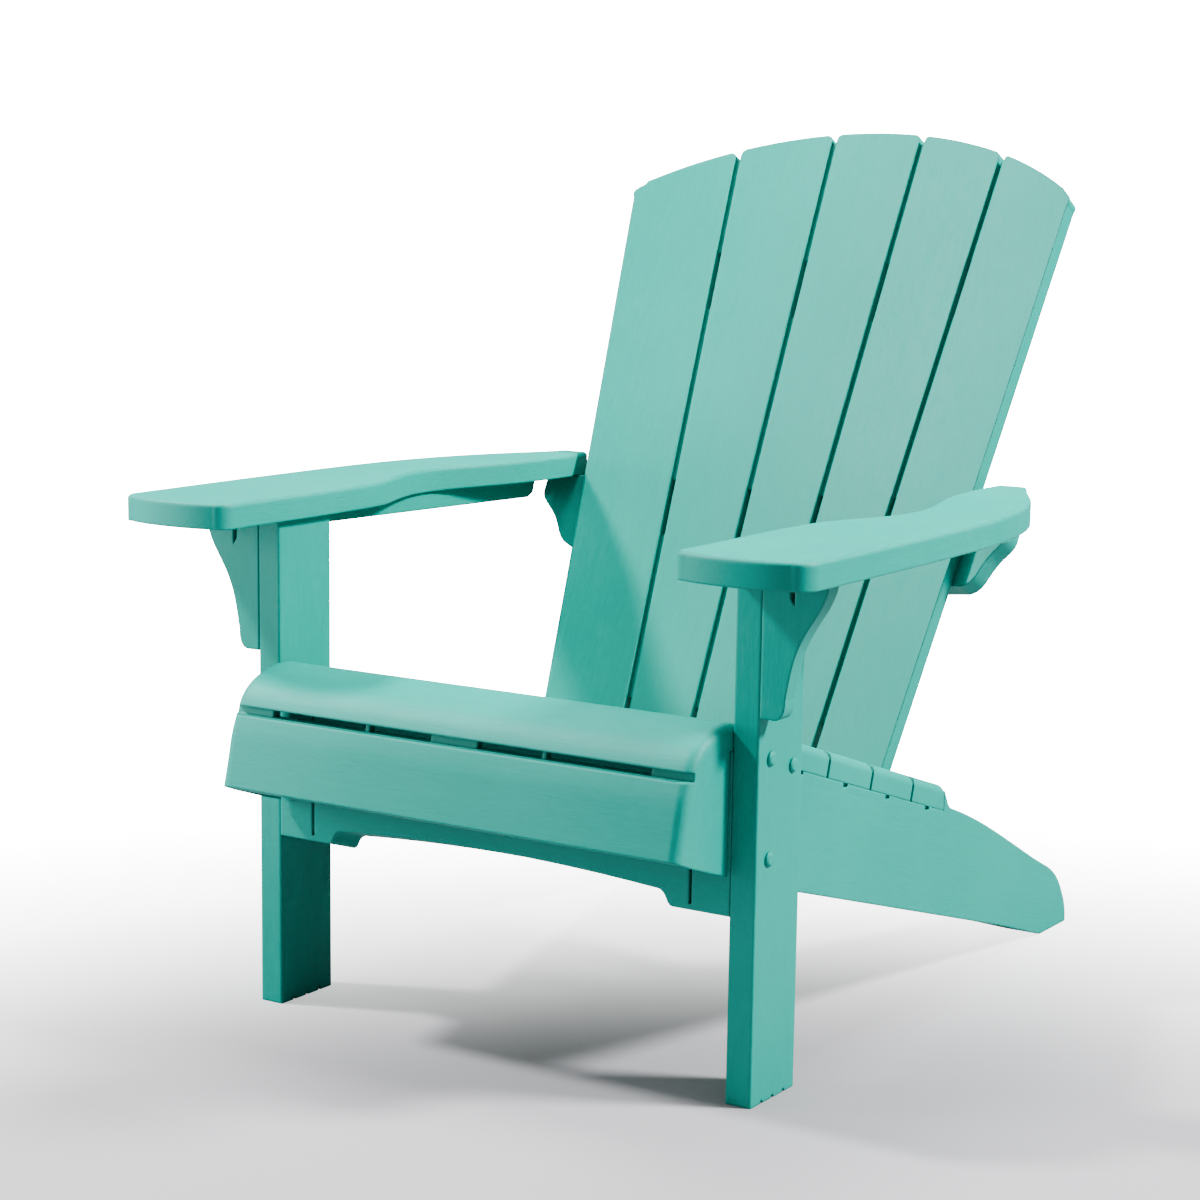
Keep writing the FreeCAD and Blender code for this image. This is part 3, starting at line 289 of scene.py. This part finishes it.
def makeFloor():
    half = floorLook["size"] / 2
    mesh = bpy.data.meshes.new("floor")
    corners = [(-half, -half, 0), (half, -half, 0), (half, half, 0), (-half, half, 0)]
    mesh.from_pydata(corners, [], [(0, 1, 2, 3)])
    floor = bpy.data.objects.new("floor", mesh)
    scene.collection.objects.link(floor)
    material, tree = newMaterial("floorPaint")
    painted = tree.nodes.new("ShaderNodeBsdfPrincipled")
    feed(tree, painted, Base_Color=floorLook["paint"], Roughness=floorLook["rough"])
    place = tree.nodes.new("ShaderNodeTexCoord")
    away = tree.nodes.new("ShaderNodeVectorMath")
    away.operation = "DISTANCE"
    tree.links.new(place.outputs["Object"], away.inputs[0])
    away.inputs[1].default_value = floorLook["middle"]
    path = tree.nodes.new("ShaderNodeLightPath")
    fade = spread(tree, away.outputs["Value"], floorLook["from"], floorLook["to"])
    fade = maths(tree, "POWER", fade, floorLook["curve"])
    fade = maths(tree, "MULTIPLY", fade, path.outputs["Is Camera Ray"])
    # painted light: the floor's own emission, stronger the further it is from middle, seen by the camera only
    glow = tree.nodes.new("ShaderNodeEmission")
    glow.inputs["Strength"].default_value = floorLook["glow"]
    both = tree.nodes.new("ShaderNodeMixShader")
    tree.links.new(fade, both.inputs[0])
    tree.links.new(painted.outputs[0], both.inputs[1])
    tree.links.new(glow.outputs[0], both.inputs[2])
    finishMaterial(tree, both)
    mesh.materials.append(material)


# soft is the light that the room gives, backdrop how bright it looks behind the chair
room = {"soft": 0.42, "backdrop": 14.0, "colour": (1.0, 1.0, 1.0, 1.0)}


def makeRoom():
    world = bpy.data.worlds.new("studio")
    scene.world = world
    world.use_nodes = True
    tree = world.node_tree
    tree.nodes.clear()
    lighting = feed(tree, tree.nodes.new("ShaderNodeBackground"), Color=room["colour"], Strength=room["soft"])
    seen = feed(tree, tree.nodes.new("ShaderNodeBackground"), Color=room["colour"], Strength=room["backdrop"])
    path = tree.nodes.new("ShaderNodeLightPath")
    both = tree.nodes.new("ShaderNodeMixShader")
    tree.links.new(path.outputs["Is Camera Ray"], both.inputs[0])
    tree.links.new(lighting.outputs[0], both.inputs[1])
    tree.links.new(seen.outputs[0], both.inputs[2])
    out = tree.nodes.new("ShaderNodeOutputWorld")
    tree.links.new(both.outputs[0], out.inputs["Surface"])


# a lamp high on each side, a broad one overhead, and a weak one low in front on the left
lamps = {
    "left": {"at": (-2.65, -1.35, 3.25), "size": 0.45, "power": 275.0},
    "behindRight": {"at": (3.1, 1.1, 3.1), "size": 0.8, "power": 430.0},
    "top": {"at": (0.0, 0.5, 3.6), "size": 1.4, "power": 110.0},
    "lowLeft": {"at": (-1.15, -1.15, 0.6), "size": 0.6, "power": 12.0},
}
lampTarget = Vector((0.0, 0.0, 0.35))


def makeLamp(name, lamp):
    light = bpy.data.lights.new(name, "AREA")
    light.shape = "DISK"
    light.size = lamp["size"]
    light.energy = lamp["power"]
    piece = bpy.data.objects.new(name, light)
    scene.collection.objects.link(piece)
    piece.visible_camera = False
    piece.location = lamp["at"]
    piece.rotation_euler = (lampTarget - Vector(lamp["at"])).to_track_quat("-Z", "Y").to_euler()


makeFloor()
makeRoom()
for name, lamp in lamps.items():
    makeLamp(name, lamp)
scene.view_settings.view_transform = "AgX"
scene.view_settings.look = "AgX - Medium High Contrast"
print("floor and", len(lamps), "lamps are in")

# turn is round the chair, rise above the horizon, roll about the line of sight, all in degrees
eye = {
    "at": (1.59565, -2.62814, 0.91601), "turn": 32.936, "rise": 9.811, "roll": 0.808,
    "lens": 82.37, "sensor": 36.0, "shiftUp": 0.0354,
}


def makeCamera():
    turn, rise, roll = (math.radians(eye[key]) for key in ("turn", "rise", "roll"))
    back = Vector((math.sin(turn) * math.cos(rise), -math.cos(turn) * math.cos(rise), math.sin(rise)))
    level = Vector((math.cos(turn), math.sin(turn), 0.0))
    upward = back.cross(level)
    rightWay = level * math.cos(roll) + upward * math.sin(roll)
    upWay = upward * math.cos(roll) - level * math.sin(roll)
    camera = bpy.data.objects.new("camera", bpy.data.cameras.new("camera"))
    scene.collection.objects.link(camera)
    camera.matrix_world = Matrix((rightWay, upWay, back)).transposed().to_4x4()
    camera.location = eye["at"]
    camera.data.lens = eye["lens"]
    camera.data.sensor_width = eye["sensor"]
    camera.data.shift_y = eye["shiftUp"]
    scene.camera = camera


makeCamera()
print("camera is set")
